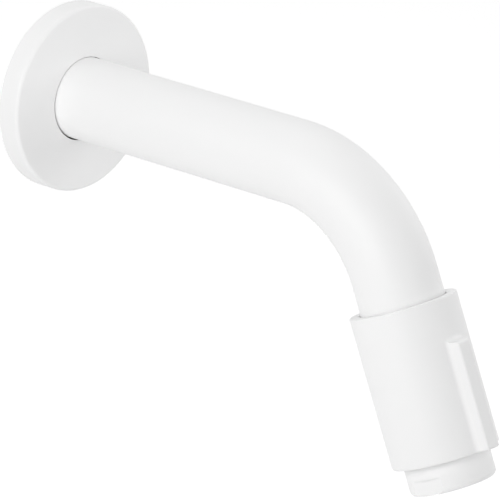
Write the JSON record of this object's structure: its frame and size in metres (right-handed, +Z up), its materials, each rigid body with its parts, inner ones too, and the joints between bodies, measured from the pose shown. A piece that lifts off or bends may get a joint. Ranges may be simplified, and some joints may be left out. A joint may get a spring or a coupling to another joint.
{
  "type": "wall-mounted basin tap",
  "caption": "Single-lead basin spout for wall mounting: round rosette, level tube with one downward bend, and a quarter-turn control sleeve with a thumb fin round the outlet.",
  "frame": {"origin": "on the axis of the wall inlet, in the plane of the wall face, behind the rosette's middle", "axes": "+Y into the wall along the inlet thread, +Z up, +X to the right of a user who faces the wall; the spout reaches out along -Y"},
  "size_m": [0.0548, 0.1757, 0.1111],
  "materials": {
    "white_lacquer": "matt white coating",
    "brass": "turned, uncoated",
    "black_rubber": "moulded",
    "foam": "closed-cell foam",
    "valve_ceramic": "ground and lapped",
    "bearing_plastic": "moulded acetal",
    "aerator_plastic": "moulded",
    "steel": "stainless"
  },
  "bodies": {
    "spout": {"spout_tube": "white_lacquer", "wall_rosette": "white_lacquer", "wall_gasket": "foam", "rosette_o_ring": "black_rubber", "wall_nipple": "brass", "nipple_o_rings": "black_rubber", "spout_grub_screw": "steel", "inlet_seal": "black_rubber", "fixed_disc": "valve_ceramic", "valve_body": "brass", "valve_body_o_ring": "black_rubber", "thrust_washer": "bearing_plastic", "sleeve_bearing_ring": "bearing_plastic"},
    "handle": {"control_sleeve": "white_lacquer", "sleeve_carrier": "brass", "carrier_o_ring": "black_rubber", "retaining_nut": "brass", "outlet_spindle": "brass", "spindle_o_rings": "black_rubber", "turning_disc": "valve_ceramic", "aerator_housing": "white_lacquer", "nose_washer": "black_rubber", "flow_regulator": "aerator_plastic", "aerator_cartridge": "aerator_plastic", "aerator_screen": "steel", "aerator_grid": "aerator_plastic"}
  },
  "joints": [
    {"name": "sleeve_turn", "type": "hinge", "parent": "spout", "child": "handle", "pos_m": [0, -0.1366, -0.05221], "axis": [0, -0.3746, -0.9272], "range_deg": [0, 90]}
  ]
}
